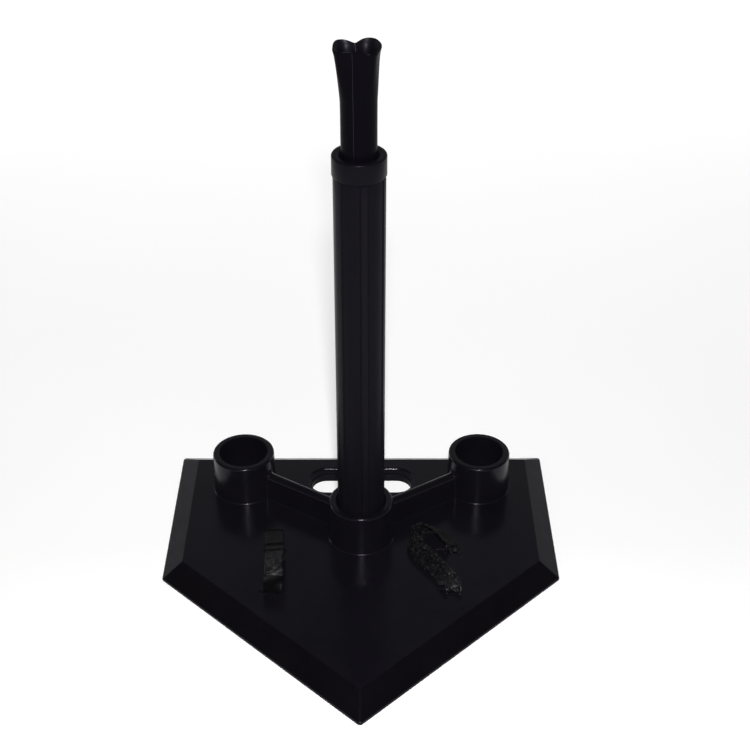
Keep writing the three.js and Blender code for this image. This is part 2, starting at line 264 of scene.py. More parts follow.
def rubber(name, colours, rough, specular, streak=(1, 1, 1)):
    """Moulded black rubber: cloudy colour, uneven gloss, a fine pebble and slow dents, and a faint bluish
    painted glow.
    """
    dark, light = colours
    mat, tree, shader, place = node_material(name)
    drawn = stretched(tree, place, streak)
    cloud = noise(tree, drawn, 14, 4, 0.6)
    gloss = noise(tree, drawn, 45, 3, 0.6)
    dents = noise(tree, drawn, 60, 2, 0.5)
    pebble = noise(tree, place, 1500, 2, 0.5)
    colour = ramp(tree, cloud, [(0.3, dark), (0.72, light)])
    finish = remap(tree, gloss, 0.25, 0.75, rough - 0.05, rough + 0.06)
    relief = bump(tree, dents, 0.07, 0.0006, bump(tree, pebble, 0.07, 0.0002))
    feed(tree, shader, {"Base Color": colour, "Roughness": finish, "Normal": relief})
    # A faint bluish emission makes every rubber part glow a little: painted light, not a lamp.
    set_inputs(shader, {
        "Specular IOR Level": specular, "Specular Tint": (0.9, 0.86, 1.0, 1),
        "Emission Color": (0.75, 0.68, 1.0, 1), "Emission Strength": 0.0022,
    })
    return mat


def cloth(name, colours, rough, sheen, specular, grain=900, spread=(0.36, 0.66)):
    """Nylon tape: mottled yarn colour (on the loop and band tapes, sparse bright specks that are painted
    glints), a little sheen and a fine twist in every yarn.
    """
    dark, light = colours
    mat, tree, shader, place = node_material(name)
    cloud = noise(tree, place, grain, 4, 0.7)
    wear = noise(tree, place, 90, 3, 0.6)
    twist = noise(tree, place, 2600, 2, 0.5)
    colour = ramp(tree, cloud, [(spread[0], dark), (spread[1], light)])
    finish = remap(tree, wear, 0.3, 0.7, rough - 0.08, rough + 0.1)
    relief = bump(tree, twist, 0.35, 0.0002)
    feed(tree, shader, {"Base Color": colour, "Roughness": finish, "Normal": relief})
    set_inputs(shader, {
        "Specular IOR Level": specular, "Sheen Weight": sheen, "Sheen Roughness": 0.4,
    })
    return mat


def paint(piece, *mats):
    piece.data.materials.clear()
    for mat in mats:
        piece.data.materials.append(mat)


PLATE_BLACK = ((0.0024, 0.0021, 0.0034), (0.004, 0.0036, 0.0054))
# The front bevels' black, darker than the plate's: painted shade.
BEVEL_SHADE_BLACK = ((0.0012, 0.0009, 0.0013), (0.0021, 0.0017, 0.0023))
TUBE_BLACK = ((0.0021, 0.0019, 0.0029), (0.0033, 0.003, 0.0044))
# The cup's inside is painted lighter than its outside: painted light falling into the cup.
FUNNEL_LIT_BLACK = ((0.002, 0.0017, 0.003), (0.004, 0.0036, 0.0052))
# The front seam's black is lighter than the cup's: a painted highlight along the seam ridge.
SEAM_HIGHLIGHT_BLACK = ((0.003, 0.0028, 0.004), (0.007, 0.0066, 0.0085))
CUP_BLACK = ((0.0011, 0.0009, 0.0017), (0.0019, 0.0017, 0.0027))
RING_BLACK = ((0.012, 0.012, 0.013), (0.02, 0.02, 0.022))
TUBE_STREAK, CUP_STREAK = (1, 1, 0.12), (1, 1, 0.2)

BASE_RUBBER = rubber("base_rubber", PLATE_BLACK, 0.2, 0.15)
BEVEL_SHADE_RUBBER = rubber("bevel_painted_shade", BEVEL_SHADE_BLACK, 0.3, 0.1)
MATT_RUBBER = rubber("matt_rubber", PLATE_BLACK, 0.5, 0.05)
TUBE_RUBBER = rubber("tube_rubber", TUBE_BLACK, 0.34, 0.042, TUBE_STREAK)
RIB_RUBBER = rubber("rib_rubber", TUBE_BLACK, 0.3, 0.064, TUBE_STREAK)
FUNNEL_LIT_RUBBER = rubber("funnel_painted_light", FUNNEL_LIT_BLACK, 0.42, 0.1)
SEAM_HIGHLIGHT_RUBBER = rubber("seam_painted_highlight", SEAM_HIGHLIGHT_BLACK, 0.32, 0.1)
CUP_RUBBER = rubber("cup_rubber", CUP_BLACK, 0.32, 0.016, CUP_STREAK)
RING_PLASTIC = rubber("ring_plastic", RING_BLACK, 0.45, 0.5)

WEBBING_YARN = ((0.0008, 0.0007, 0.0012), (0.003, 0.0028, 0.0036))
# The loop tape's sparse bright specks are painted glints of its fibres.
LOOP_YARN_GLINTS = ((0.0008, 0.0007, 0.0014), (0.16, 0.155, 0.176))
# A darker copy of the loop tape for the right strap: painted shade, with dimmer painted glints.
BAND_YARN_SHADE_GLINTS = ((0.0008, 0.0007, 0.0014), (0.085, 0.082, 0.095))
HOOK_YARN = ((0.003, 0.0027, 0.0036), (0.009, 0.008, 0.0095))
THREAD_YARN = ((0.002, 0.0018, 0.0026), (0.02, 0.018, 0.018))

WEBBING = cloth("webbing", WEBBING_YARN, 0.55, 0.004, 0.11)
LOOP_TAPE_GLINTS = cloth("loop_tape", LOOP_YARN_GLINTS, 0.5, 0.01, 0.26, 600, (0.56, 0.66))
BAND_TAPE_SHADE_GLINTS = cloth("band_tape", BAND_YARN_SHADE_GLINTS, 0.5, 0.01, 0.15, 520, (0.56, 0.69))
HOOK_TAPE = cloth("hook_tape", HOOK_YARN, 0.45, 0.012, 0.2)
THREAD = cloth("thread", THREAD_YARN, 0.5, 0.01, 0.25)


# ---------------------------------------------------------------- camera, light and floor

LENS, SENSOR = 66.76, 36
CAMERA_PLACE = (0.009886, -1.185889, 1.033876)
PITCH, YAW, ROLL = (math.radians(a) for a in (34.109, 0.2534, 0.1035))
FLOOR_HALF, FLOOR_DROP = 60, 0.0002
FLOOR_GREYS = ((0.6, 0.6, 0.6), (0.64, 0.64, 0.64))
SKY = ((0.0, 0.42), (0.2, 0.34), (0.4, 0.36), (0.5, 0.46), (0.6, 0.46), (0.68, 0.1), (1.0, 0.03))


def add_camera():
    data = bpy.data.cameras.new("camera")
    data.lens = LENS
    data.sensor_width = SENSOR
    data.clip_start = 0.05
    data.clip_end = 50
    camera = bpy.data.objects.new("camera", data)
    bpy.context.scene.collection.objects.link(camera)
    ahead = Vector((math.sin(YAW) * math.cos(PITCH), math.cos(YAW) * math.cos(PITCH), -math.sin(PITCH)))
    right = Vector((math.cos(YAW), -math.sin(YAW), 0))
    up = right.cross(ahead)
    across = right * math.cos(ROLL) + up * math.sin(ROLL)
    upward = up * math.cos(ROLL) - right * math.sin(ROLL)
    axes = Matrix((across, upward, -ahead)).transposed().to_4x4()
    camera.matrix_world = Matrix.Translation(CAMERA_PLACE) @ axes
    bpy.context.scene.camera = camera


def add_area(name, place, target, size, power):
    data = bpy.data.lights.new(name, "AREA")
    data.shape = "RECTANGLE"
    data.size, data.size_y = size
    data.energy = power
    lamp = bpy.data.objects.new(name, data)
    bpy.context.scene.collection.objects.link(lamp)
    lamp.location = place
    lamp.rotation_euler = (Vector(target) - Vector(place)).to_track_quat("-Z", "Y").to_euler()


def add_floor():
    """A pale seamless sweep that glows more the further it is from the tee, so that it stays even."""
    corners = [(x, y, 0) for x, y in ((-FLOOR_HALF, -FLOOR_HALF), (FLOOR_HALF, -FLOOR_HALF),
                                      (FLOOR_HALF, FLOOR_HALF), (-FLOOR_HALF, FLOOR_HALF))]
    floor = link_mesh("floor", corners, [(0, 1, 2, 3)])
    floor.location.z = -FLOOR_DROP
    mat, tree, shader, place = node_material("floor")
    cloud = noise(tree, place, 1.5, 2, 0.5)
    colour = ramp(tree, cloud, [(0.3, FLOOR_GREYS[0]), (0.7, FLOOR_GREYS[1])])
    distance = tree.nodes.new("ShaderNodeVectorMath")
    distance.operation = "LENGTH"
    tree.links.new(place, distance.inputs[0])
    glow = tree.nodes.new("ShaderNodeMath")
    glow.operation = "MAXIMUM"
    behind = remap(tree, split(tree, place)["Y"], 0.0, 1.4, 0.45, 0.9)
    away = remap(tree, distance.outputs["Value"], 1.1, 2.8, 0.45, 0.95)
    tree.links.new(behind, glow.inputs[0])
    tree.links.new(away, glow.inputs[1])
    feed(tree, shader, {"Base Color": colour, "Emission Strength": glow.outputs["Value"]})
    set_inputs(shader, {
        "Roughness": 0.9, "Specular IOR Level": 0.1, "Emission Color": (1, 1, 1, 1),
    })
    paint(floor, mat)


def add_world():
    """A pale horizon, dimmer behind the camera, that darkens towards the zenith."""
    world = bpy.data.worlds.new("world")
    world.use_nodes = True
    tree = world.node_tree
    direction = split(tree, tree.nodes.new("ShaderNodeTexCoord").outputs["Generated"])
    glow = ramp(tree, direction["Z"], [(at, (grey, grey, grey)) for at, grey in SKY])
    strength = remap(tree, direction["Y"], 0.3, 0.72, 0.2, 1.0)
    feed(tree, tree.nodes["Background"], {"Color": glow, "Strength": strength})
    bpy.context.scene.world = world


add_camera()
add_world()
add_floor()
add_area("front_box", (0.03, -1.22, 1.3), (0, 0, 0.1), (0.09, 0.09), 34)
add_area("left_box", (-2.3, 1.2, 0.75), (0, 0, 0.2), (0.4, 0.9), 4)
add_area("right_box", (2.3, 1.2, 0.75), (0, 0, 0.2), (0.4, 0.9), 1.5)
bpy.context.scene.view_settings.view_transform = "Standard"


# ---------------------------------------------------------------- base moulding

# All sizes from here on are in millimetres. The plate's point lies towards -Y.
BASE_LOW, BASE_HIGH = (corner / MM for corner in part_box("base_plate"))
HALF_WIDTH, BACK, POINT, SOCKET_TOP = BASE_HIGH.x, BASE_HIGH.y, BASE_LOW.y, BASE_HIGH.z
SHOULDER = -58.0                    # where the straight sides turn into the two front edges
FRONT_RUN = SHOULDER - POINT
FRONT_SLANT = math.hypot(HALF_WIDTH, FRONT_RUN)
PLATE_TOP, SKIN, LIP = 17.3, 7, 3
CEILING = PLATE_TOP - SKIN
BEVEL, FRONT_SPREAD = 21.6, 1.1     # the front bevels are a tenth wider than those at the sides
TOP_EDGE = 1.6

SOCKET_ACROSS, SOCKET_BACK = 135.2, 86.9
SITES = [(0, 0), (-SOCKET_ACROSS, SOCKET_BACK), (SOCKET_ACROSS, SOCKET_BACK)]
SOCKET_SEGMENTS = 112
SOCKET_FOOT, SOCKET_FILLET = 36.2, 2.4
SOCKET_RIM, RIM_ROUNDING = 34.95, 2.6
SOCKET_FLOOR, BORE_FOOT, BORE_MOUTH = 6, 26.7, 27.35

WALL_HALF, WALL_TOP = 5.6, 49.4
WALL_START, WALL_FLARE, FLARE_RUN = 35.6, 2.8, 3
WALL_STEPS = (-3.5, -1.5, -0.6, 0, 0.3, 0.7, 1.2, 1.8, 2.4, 3, 8)     # crowded where it flares
WALL_TOE, WALL_CAP = 1.4, 5.2

HANDLE_Y, HANDLE_HALF_X, HANDLE_HALF_Y, HANDLE_CORNER = 95.5, 58, 20, 17
HANDLE_ROUNDING = 2.6

STRAP_X, FRONT_SLOT, BACK_SLOT = 94.5, -93, -30
SLOT_HALF_X, SLOT_HALF_Y, SLOT_CORNER = 13, 2.7, 1.5

CELL_HALF, CELL_PITCH, CELL_CORNER = 22.5, 50, 2
RIM_WIDTH, PAD_RADIUS, HANDLE_PAD = 8, 40, 9


def plate_corners(inset):
    reach = -POINT * HALF_WIDTH / FRONT_SLANT - inset * FRONT_SPREAD
    half = HALF_WIDTH - inset
    shoulder = (FRONT_RUN * half - FRONT_SLANT * reach) / HALF_WIDTH
    tip = -FRONT_SLANT * reach / HALF_WIDTH
    return [(-half, BACK - inset), (-half, shoulder), (0, tip), (half, shoulder), (half, BACK - inset)]


def plate_solid():
    """The plate's outside: a thin lip, sloping bevels and a softened top edge."""
    slope = math.degrees(math.atan2(PLATE_TOP - LIP, BEVEL))
    profile = [(0.5, 0), (0, 0.5), (0, 2.3), (0.35, 3.2), (1.0, 3.75)]
    profile += arc((BEVEL + 0.4, PLATE_TOP - TOP_EDGE), TOP_EDGE, 90 + slope, 90, 4)
    return capped([rounded_ring(plate_corners(inset), max(1.2, 4 - inset / 8), z, 6)
                   for inset, z in profile])


def handle_ring(grow, z):
    """The handle opening's outline, grown outwards."""
    points = []
    for sx, sy, start in ((1, 1, 0), (-1, 1, 90), (-1, -1, 180), (1, -1, 270)):
        middle = (sx * (HANDLE_HALF_X - HANDLE_CORNER), HANDLE_Y + sy * (HANDLE_HALF_Y - HANDLE_CORNER))
        points += [(x, y, z) for x, y in arc(middle, HANDLE_CORNER + grow, start, start + 90, 12)]
    return points


def waffle():
    """Square pockets in the underside, clear of the bevels, the sockets and the handle."""
    centres = [((i - 4.5) * CELL_PITCH, (j - 5) * CELL_PITCH) for i in range(10) for j in range(9)]
    cells = [box_block(centre, CELL_HALF, CELL_HALF, -1, CEILING, CELL_CORNER) for centre in centres]
    outline = plate_corners(BEVEL / 2 + RIM_WIDTH)
    inside = capped([[(x, y, z) for x, y in outline] for z in (-2, CEILING + 0.5)])
    low, high = -3, CEILING + 1
    pads = [turned([(PAD_RADIUS, low), (PAD_RADIUS, high)], site, 96) for site in SITES]
    pads.append(capped([handle_ring(HANDLE_PAD, z) for z in (low, high)]))
    pockets = combine(cells[0], cells[1:], "UNION")
    pockets = combine(pockets, [inside], "INTERSECT")
    return combine(pockets, pads, "DIFFERENCE")


def socket(site):
    """A socket's outside, filleted into the plate and rounded at the rim."""
    profile = [(38, 3)]
    profile += arc((SOCKET_FOOT + SOCKET_FILLET, PLATE_TOP + 2.2), SOCKET_FILLET, 262, 180, 6)
    profile += arc((SOCKET_RIM - RIM_ROUNDING, SOCKET_TOP - RIM_ROUNDING), RIM_ROUNDING, 0, 90, 6)
    return turned(profile, site, SOCKET_SEGMENTS)


def bore(site):
    """A socket's inside, a little wider at the mouth than at the floor."""
    profile = [(24.5, SOCKET_FLOOR), (26.0, SOCKET_FLOOR + 0.5), (BORE_FOOT, SOCKET_FLOOR + 2)]
    profile += [(BORE_MOUTH, SOCKET_TOP - 1.2), (27.7, SOCKET_TOP - 0.35), (28.5, SOCKET_TOP + 0.1)]
    return turned(profile, site, SOCKET_SEGMENTS)


def socket_wall(site):
    """The upright wall between two sockets, filleted to the plate and flared into both sockets."""
    length = math.hypot(*site)
    direction = Vector(site) / length
    side = Vector((-direction.y, direction.x))
    ends = [WALL_START + step for step in WALL_STEPS]
    rings = []
    for s in ends + [length / 2] + [length - end for end in reversed(ends)]:
        near = max(0.0, 1 - max(0.0, s - WALL_START) / FLARE_RUN)
        far = max(0.0, 1 - max(0.0, length - WALL_START - s) / FLARE_RUN)
        closeness = max(near, far)
        flare = WALL_FLARE * (1 - math.sqrt(max(0.0, 1 - closeness * closeness)))
        half, top = WALL_HALF + flare, WALL_TOP + flare * 0.9
        foot = half + 1.2
        section = [(-foot - WALL_TOE + 0.1, PLATE_TOP - 3)]
        section += arc((-foot - WALL_TOE, PLATE_TOP + WALL_TOE - 0.1), WALL_TOE, -82, 0, 4)
        section += arc((-half + WALL_CAP, top - WALL_CAP), WALL_CAP, 177, 90, 9)
        section += [(-a, b) for a, b in reversed(section)]
        centre = direction * s
        rings.append([(centre.x + side.x * a, centre.y + side.y * a, z) for a, z in section])
    return capped(rings)


def handle_opening():
    """The handle's hole: a narrower lower half, a ledge, and a rounded upper edge."""
    edge = HANDLE_ROUNDING + 1.2
    profile = [(0, -1), (0, 7.9), (0.4, 8.3), (1.2, 8.4)]
    profile += arc((edge, PLATE_TOP - HANDLE_ROUNDING), HANDLE_ROUNDING, 180, 94, 7)
    profile += [(edge, PLATE_TOP + 2)]
    return capped([handle_ring(grow, z) for grow, z in profile])


def strap_cuts(side):
    """Two slots with softened edges, and the channel that joins them under the plate."""
    x = side * STRAP_X
    cuts = []
    for y in (FRONT_SLOT, BACK_SLOT):
        rings = []
        for grow, z in ((0, -1), (0, PLATE_TOP - 1), (0.12, PLATE_TOP - 0.25), (0.4, PLATE_TOP + 0.05)):
            corners = rectangle((x, y), SLOT_HALF_X + grow, SLOT_HALF_Y + grow)
            rings.append(rounded_ring(corners, SLOT_CORNER + grow, z, 4))
        cuts.append(capped(rings))
    middle = (x, (FRONT_SLOT + BACK_SLOT) / 2)
    half_length = (BACK_SLOT - FRONT_SLOT) / 2 + SLOT_HALF_Y
    cuts.append(box_block(middle, SLOT_HALF_X, half_length, -1, CEILING, 1.0))
    return cuts


def base_moulding():
    base = combine(plate_solid(), [waffle()], "DIFFERENCE")
    base = combine(base, [socket(site) for site in SITES], "UNION")
    base = combine(base, [socket_wall(site) for site in SITES[1:]], "UNION")
    base = combine(base, [bore(site) for site in SITES], "DIFFERENCE")
    base = combine(base, [handle_opening(), *strap_cuts(-1), *strap_cuts(1)], "DIFFERENCE")
    base.data.transform(Matrix.Scale(MM, 4))
    base.name = base.data.name = "base_moulding"
    return finish_piece(base, "base", ["base_plate"], 35)


def paint_base(piece):
    """A satin plate, a matt inside to the handle opening, and front bevels painted darker as shade, and
    duller.
    """
    paint(piece, BASE_RUBBER, MATT_RUBBER, BEVEL_SHADE_RUBBER)
    handle_inside, shaded_front_bevel = 1, 2
    for face in piece.data.polygons:
        spot = face.center / MM
        inward = (-POINT * HALF_WIDTH + spot.y * HALF_WIDTH - abs(spot.x) * FRONT_RUN) / FRONT_SLANT
        # Faces on the front bevels take the darker black: painted shade.
        if spot.y < SHOULDER and face.normal.z > 0.8 and inward < BEVEL * FRONT_SPREAD - 0.5:
            face.material_index = shaded_front_bevel
        near_handle = abs(spot.x) < HANDLE_HALF_X + 2 and abs(spot.y - HANDLE_Y) < HANDLE_HALF_Y + 2
        if near_handle and 0.5 < spot.z < PLATE_TOP - 2.2:
            face.material_index = handle_inside


def weigh_normals(piece):
    """Shade each flat by its own area, so that the roundings next to it don't bend its light."""
    modifier = piece.modifiers.new("weighted", "WEIGHTED_NORMAL")
    modifier.keep_sharp = True
    modifier.weight = 80


base_piece = base_moulding()
paint_base(base_piece)
weigh_normals(base_piece)


# ---------------------------------------------------------------- tubes

TUBE_LOW, TUBE_HIGH = (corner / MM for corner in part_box("main_tube"))
RIBS, RIB_STEP, FIRST_RIB, RIB_CREST = 6, 60, -79, 6.2     # the last three in degrees
RIB_RADIUS, VALLEY_RADIUS, BORE_RADIUS = 26.1, 25.0, 22.4
COLLAR_BORE, SPIGOT = 17.65, 22.1

BALL_RADIUS, BALL_BORE, BALL_FOOT = 17.25, 13.9, 93.5
GROOVE_RADIUS, GROOVE_LOW, GROOVE_HIGH = 15.8, 97.2, 107.8
SEAMS, SEAM_FOOT, SEAM_RISE = (254, 74), 112, 0.35
CUP_OUTSIDE = [(520, 17.25), (533, 17.4), (545, 18.25), (560, 19.2), (570, 19.9),
               (576, 20.5), (579.5, 21.0), (581.5, 21.6), (583, 22.0)]
CUP_INSIDE = [(540, BALL_BORE), (560, 14.3), (572, 15.0), (576, 15.7), (579, 17.0), (581.5, 18.6),
              (583.4, 20.6)]
LEAN_FOOT, FOLD_FOOT, FUNNEL_FOOT = 520, 532, 541
FRONT_LOBES, BACK_LOBES = (-52, -146), (48, 148)


def off_rib(angle):
    """Degrees from the middle of the nearest rib."""
    return abs((angle - FIRST_RIB + RIB_STEP / 2) % RIB_STEP - RIB_STEP / 2)


def rib_radius(angle):
    """Outer radius of the standing tube at an angle in degrees."""
    away = off_rib(angle)
    groove = -0.35 * math.exp(-((away - 9.2) / 0.8) ** 2)
    return VALLEY_RADIUS + (RIB_RADIUS - VALLEY_RADIUS) * ease((8.4 - away) / 2.3) + groove


def standing_tube():
    """The ribbed tube, with its outline's points crowded at the ribs' edges."""
    offsets = np.concatenate([np.linspace(-10.6, -5.6, 11), np.linspace(-4, 4, 5),
                              np.linspace(5.6, 10.6, 11), np.linspace(13, 47, 12)])
    angles = [FIRST_RIB + i * RIB_STEP + offset for i in range(RIBS) for offset in offsets]
    low, high = TUBE_LOW.z, TUBE_HIGH.z
    outer = [(0.8, low), (0.2, low + 0.3), (0, low + 0.9)]
    outer += [(0, z) for z in np.linspace(low + 20, high - 0.9, 24)]
    outer += [(0.2, high - 0.3), (0.8, high)]
    rings = [[(*polar(rib_radius(a) - inset, a), z) for a in angles] for inset, z in outer]
    for inset, z in ((0.5, high), (0, high - 0.6), (0, low + 0.6), (0.5, low)):
        rings.append([(*polar(BORE_RADIUS + inset, a), z) for a in angles])
    piece = add_wall("standing_tube_wall", rings, "standing_tube", "tube_rubber", ["main_tube"], 32)
    paint(piece, TUBE_RUBBER, RIB_RUBBER)
    rib = 1
    for face in piece.data.polygons:
        row, column = divmod(face.index, len(angles))
        if row < len(outer) - 1 and off_rib(angles[column] + 0.3) < RIB_CREST:
            face.material_index = rib


def collar():
    """A thick ring with a rolled lip, on the spigot that plugs the standing tube."""
    low, high = (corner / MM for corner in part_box("tube_collar"))
    outer, foot, top = high.x, low.z, high.z
    seat = TUBE_HIGH.z + 0.3
    profile = [(COLLAR_BORE, foot), (SPIGOT, foot), (SPIGOT, seat)]
    profile += [(outer - 1.2, seat), (outer - 0.4, seat + 0.25), (outer, seat + 1), (outer, top - 2.6)]
    profile += arc((outer - 2, top - 2.1), 2, 0, 80, 8)
    profile += [(outer - 3.4, top), (COLLAR_BORE + 3.6, top - 0.2)]
    profile += arc((COLLAR_BORE + 3.4, top - 2.4), 2.1, 85, 160, 6)
    profile += [(COLLAR_BORE + 0.35, top - 4.6), (COLLAR_BORE, top - 5.6)]
    rings = [circle(radius, z, 144) for radius, z in profile]
    paint(add_wall("collar_sleeve", rings, "standing_tube", "tube_rubber", ["tube_collar"], 32), TUBE_RUBBER)


def bumps(angle, centres, width):
    """Sum of bell curves round a turn, each 1 high at its centre."""
    total = 0.0
    for centre in centres:
        away = (angle - centre + 180) % 360 - 180
        total += math.exp(-(away / width) ** 2)
    return total


def rim_fold(angle):
    """How far the cup's rim goes out and down at an angle: it folds in at the back and the front."""
    back, front = bumps(angle, [100], 25), bumps(angle, [-104], 30)
    lobes = bumps(angle, BACK_LOBES, 18) * 1.2 + bumps(angle, FRONT_LOBES, 20) * 3.0
    out = lobes - 9.4 * back - 5.2 * front
    down = 2.6 * back + 0.4 * front + 1.1 * bumps(angle, FRONT_LOBES, 22)
    return out, down


def flared(table, low, high, steps):
    """A stretch of profile read off a [height, radius] table."""
    heights, radii = zip(*table)
    return [(float(np.interp(z, heights, radii)), z) for z in np.linspace(low, high, steps)]


def ball_tube():
    """The sliding tube, grooved for its guide ring, seamed, and flared into a folded cup."""
    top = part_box("ball_tube")[1].z / MM
    outside = [(BALL_BORE + 0.5, BALL_FOOT), (BALL_RADIUS - 0.5, BALL_FOOT)]
    outside += [(BALL_RADIUS, BALL_FOOT + 0.5), (BALL_RADIUS, GROOVE_LOW), (GROOVE_RADIUS, GROOVE_LOW)]
    outside += [(GROOVE_RADIUS, GROOVE_HIGH), (BALL_RADIUS, GROOVE_HIGH)]
    outside += [(BALL_RADIUS, z) for z in np.linspace(130, 500, 14)]
    outside += flared(CUP_OUTSIDE, 513, 583, 26) + [(21.9, 584.0), (21.5, top), (21.0, top - 0.15)]
    inside = flared(CUP_INSIDE, 583.4, 540, 20)
    inside += [(BALL_BORE, z) for z in (500, 300, BALL_FOOT + 0.5)]
    profile = outside + inside

    turns = {2 * k for k in range(180)}
    turns |= {seam + step for seam in SEAMS for step in (-1.6, -1.1, -0.6, 0.6, 1.1, 1.6)}
    angles = sorted(turns)
    folds = [rim_fold(a) for a in angles]
    rings = []
    for i, (radius, z) in enumerate(profile):
        share = ease((z - FOLD_FOOT) / (top - FOLD_FOOT))
        lean = 0.12 * min(1.0, max(0.0, (z - 483) / 15)) + ease((z - LEAN_FOOT) / (top - LEAN_FOOT))
        rise = SEAM_RISE if i < len(outside) and SEAM_FOOT < z < top - 3 else 0
        ring = []
        for a, (out, down) in zip(angles, folds):
            x, y = polar(radius + share * out + rise * bumps(a, SEAMS, 1.1), a)
            ring.append((x - lean, y, z - share * down))
        rings.append(ring)
    piece = add_wall("ball_tube_wall", rings, "ball_tube", "cup_rubber", ["ball_tube"], 40)

    paint(piece, CUP_RUBBER, SEAM_HIGHLIGHT_RUBBER, FUNNEL_LIT_RUBBER)
    front_seam_highlight, lit_funnel = 1, 2
    rim = len(outside) - 1
    for face in piece.data.polygons:
        row, column = divmod(face.index, len(angles))
        z = profile[row][1]
        # Faces inside the cup's mouth take the lighter black: painted light falling into the cup.
        if row >= rim and z > FUNNEL_FOOT:
            face.material_index = lit_funnel
        # Faces on the front seam take the lighter black: a painted highlight along its ridge.
        elif row < rim and SEAM_FOOT < z < top - 4 and SEAMS[0] - 1.5 < angles[column] < SEAMS[0] + 0.8:
            face.material_index = front_seam_highlight


standing_tube()
collar()
ball_tube()
paint(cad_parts["guide_ring"], RING_PLASTIC)


# ---------------------------------------------------------------- straps

STRAP_WIDTH, STRAP_THICK, HINGE = 21.5, 1.9, 19.5
WEB_HALF = STRAP_THICK / 2 - 0.2    # leaves room for the weave's relief
RUN_LOW, RUN_TOP, RUN_TURN = 8.6, 14.8, 3
RIB_PITCH, PICK_PITCH = 1.55, 1.9
STEP = 0.45
FLAT = (0, 0, 1, 0)                 # a curl that does nothing


def spline(points, t):
    """Centripetal Catmull-Rom curve through the points, t from 0 to 1."""
    last = len(points) - 1
    i = min(int(t * last), last - 1)
    w = t * last - i
    p1, p2 = points[i], points[i + 1]
    p0 = points[i - 1] if i else 2 * p1 - p2
    p3 = points[i + 2] if i + 2 <= last else 2 * p2 - p1
    d0, d1, d2 = (max(1e-3, np.linalg.norm(b - a)) ** 0.5 for a, b in ((p0, p1), (p1, p2), (p2, p3)))
    m1 = ((p1 - p0) / d0 - (p2 - p0) / (d0 + d1)) * d1 + (p2 - p1)
    m2 = ((p3 - p2) / d2 - (p3 - p1) / (d1 + d2)) * d1 + (p2 - p1)
    return p1 + m1 * w + (3 * (p2 - p1) - 2 * m1 - m2) * w ** 2 + (2 * (p1 - p2) + m1 + m2) * w ** 3


def steps_between(points):
    return np.linalg.norm(np.diff(points, axis=0), axis=1)


def band(stations, curl, first=0.0, last=1.0):
    """Evenly spaced frames along a band, from stations of [centre, side direction].

    curl is the lengthwise roll at the root and at the tip, the distance over which each fades,
    and how far the root is pushed sideways.
    """
    centres = np.array([c for c, _ in stations], float)
    sides = np.array([a for _, a in stations], float)
    dense = np.linspace(first, last, 500)
    run = np.concatenate([[0], np.cumsum(steps_between(np.array([spline(centres, t) for t in dense])))])
    distance = np.linspace(0, run[-1], max(8, int(run[-1] / STEP)))
    shares = np.interp(distance, run, dense)
    centre = np.array([spline(centres, t) for t in shares])
    tangent = np.gradient(centre, axis=0)
    tangent /= np.linalg.norm(tangent, axis=1)[:, None]
    side = np.array([spline(sides, t) for t in shares])
    side -= tangent * np.sum(side * tangent, axis=1)[:, None]
    side /= np.linalg.norm(side, axis=1)[:, None]

    root, tip, reach, shift = curl
    whole = steps_between(np.array([spline(centres, t) for t in np.linspace(0, 1, 300)]))
    begun = np.sum(whole[:int(300 * first)])
    near = np.clip(1 - (begun + distance) / reach, 0, 1)
    far = np.clip(1 - (np.sum(whole) - begun - distance) / reach, 0, 1)
    near, far = (w * w * (3 - 2 * w) for w in (near, far))
    return {"centre": centre, "side": side, "out": np.cross(side, tangent), "s": distance,
            "curl": root * near + tip * far, "shift": shift * near}


def curled(frames, rows, u, height):
    """Points at u across and height off the middle of the tape, with the tape rolled lengthwise."""
    bend = frames["curl"][rows]
    bend = np.where(np.abs(bend) < 0.02, 0.02, bend)
    radius = STRAP_WIDTH / 2 / bend
    angle = u / radius
    across = radius * np.sin(angle) + height * np.sin(angle)
    off = -radius * (1 - np.cos(angle)) + height * np.cos(angle)
    return (frames["centre"][rows] + frames["side"][rows] * (across + frames["shift"][rows])[..., None]
            + frames["out"][rows] * off[..., None])


def strip(frames, width, lower, upper, columns, trim=0):
    """Closed strip whose face heights come from lower and upper over (across, along).

    trim is how far the far end's corner is cut back.
    """
    u = np.linspace(-width / 2, width / 2, columns)
    grid_u, grid_s = np.meshgrid(u, frames["s"])
    rows = np.broadcast_to(np.arange(len(frames["s"]))[:, None], grid_u.shape)
    cut = trim * np.clip((grid_s - frames["s"][-1] + trim) / trim, 0, 1) if trim else 0
    grid_u = -width / 2 + cut + (grid_u + width / 2) * (width - cut) / width
    top = curled(frames, rows, grid_u, upper(grid_u, grid_s))
    bottom = curled(frames, rows, grid_u, lower(grid_u, grid_s))[:, ::-1]
    verts = np.concatenate([top, bottom], axis=1)
    count, ring = verts.shape[:2]
    faces = ring_faces(count, ring)
    for start in (0, (count - 1) * ring):
        for k in range(columns - 1):
            faces.append((start + k, start + k + 1, start + ring - 2 - k, start + ring - 1 - k))
    return verts.reshape(-1, 3).tolist(), faces


def rounded_edge(u, width, radius):
    into = np.clip((np.abs(u) - (width / 2 - radius)) / radius, 0, 1)
    return np.sqrt(np.clip(1 - into ** 2, 0.02, 1))


def weave(u, s):
    """Relief of a plain narrow weave: lengthwise ribs that dive under every other pick."""
    lane = np.floor(u / RIB_PITCH + 0.5)
    ribs = 0.13 * np.cos(2 * np.pi * u / RIB_PITCH)
    return ribs + 0.1 * np.cos(2 * np.pi * s / PICK_PITCH + np.pi * lane)


def webbing_face(u, s):
    return WEB_HALF * rounded_edge(u, STRAP_WIDTH, 0.8) + weave(u, s)


def webbing_back(u, s):
    return -WEB_HALF * rounded_edge(u, STRAP_WIDTH, 0.8) + weave(u, s + PICK_PITCH / 2)


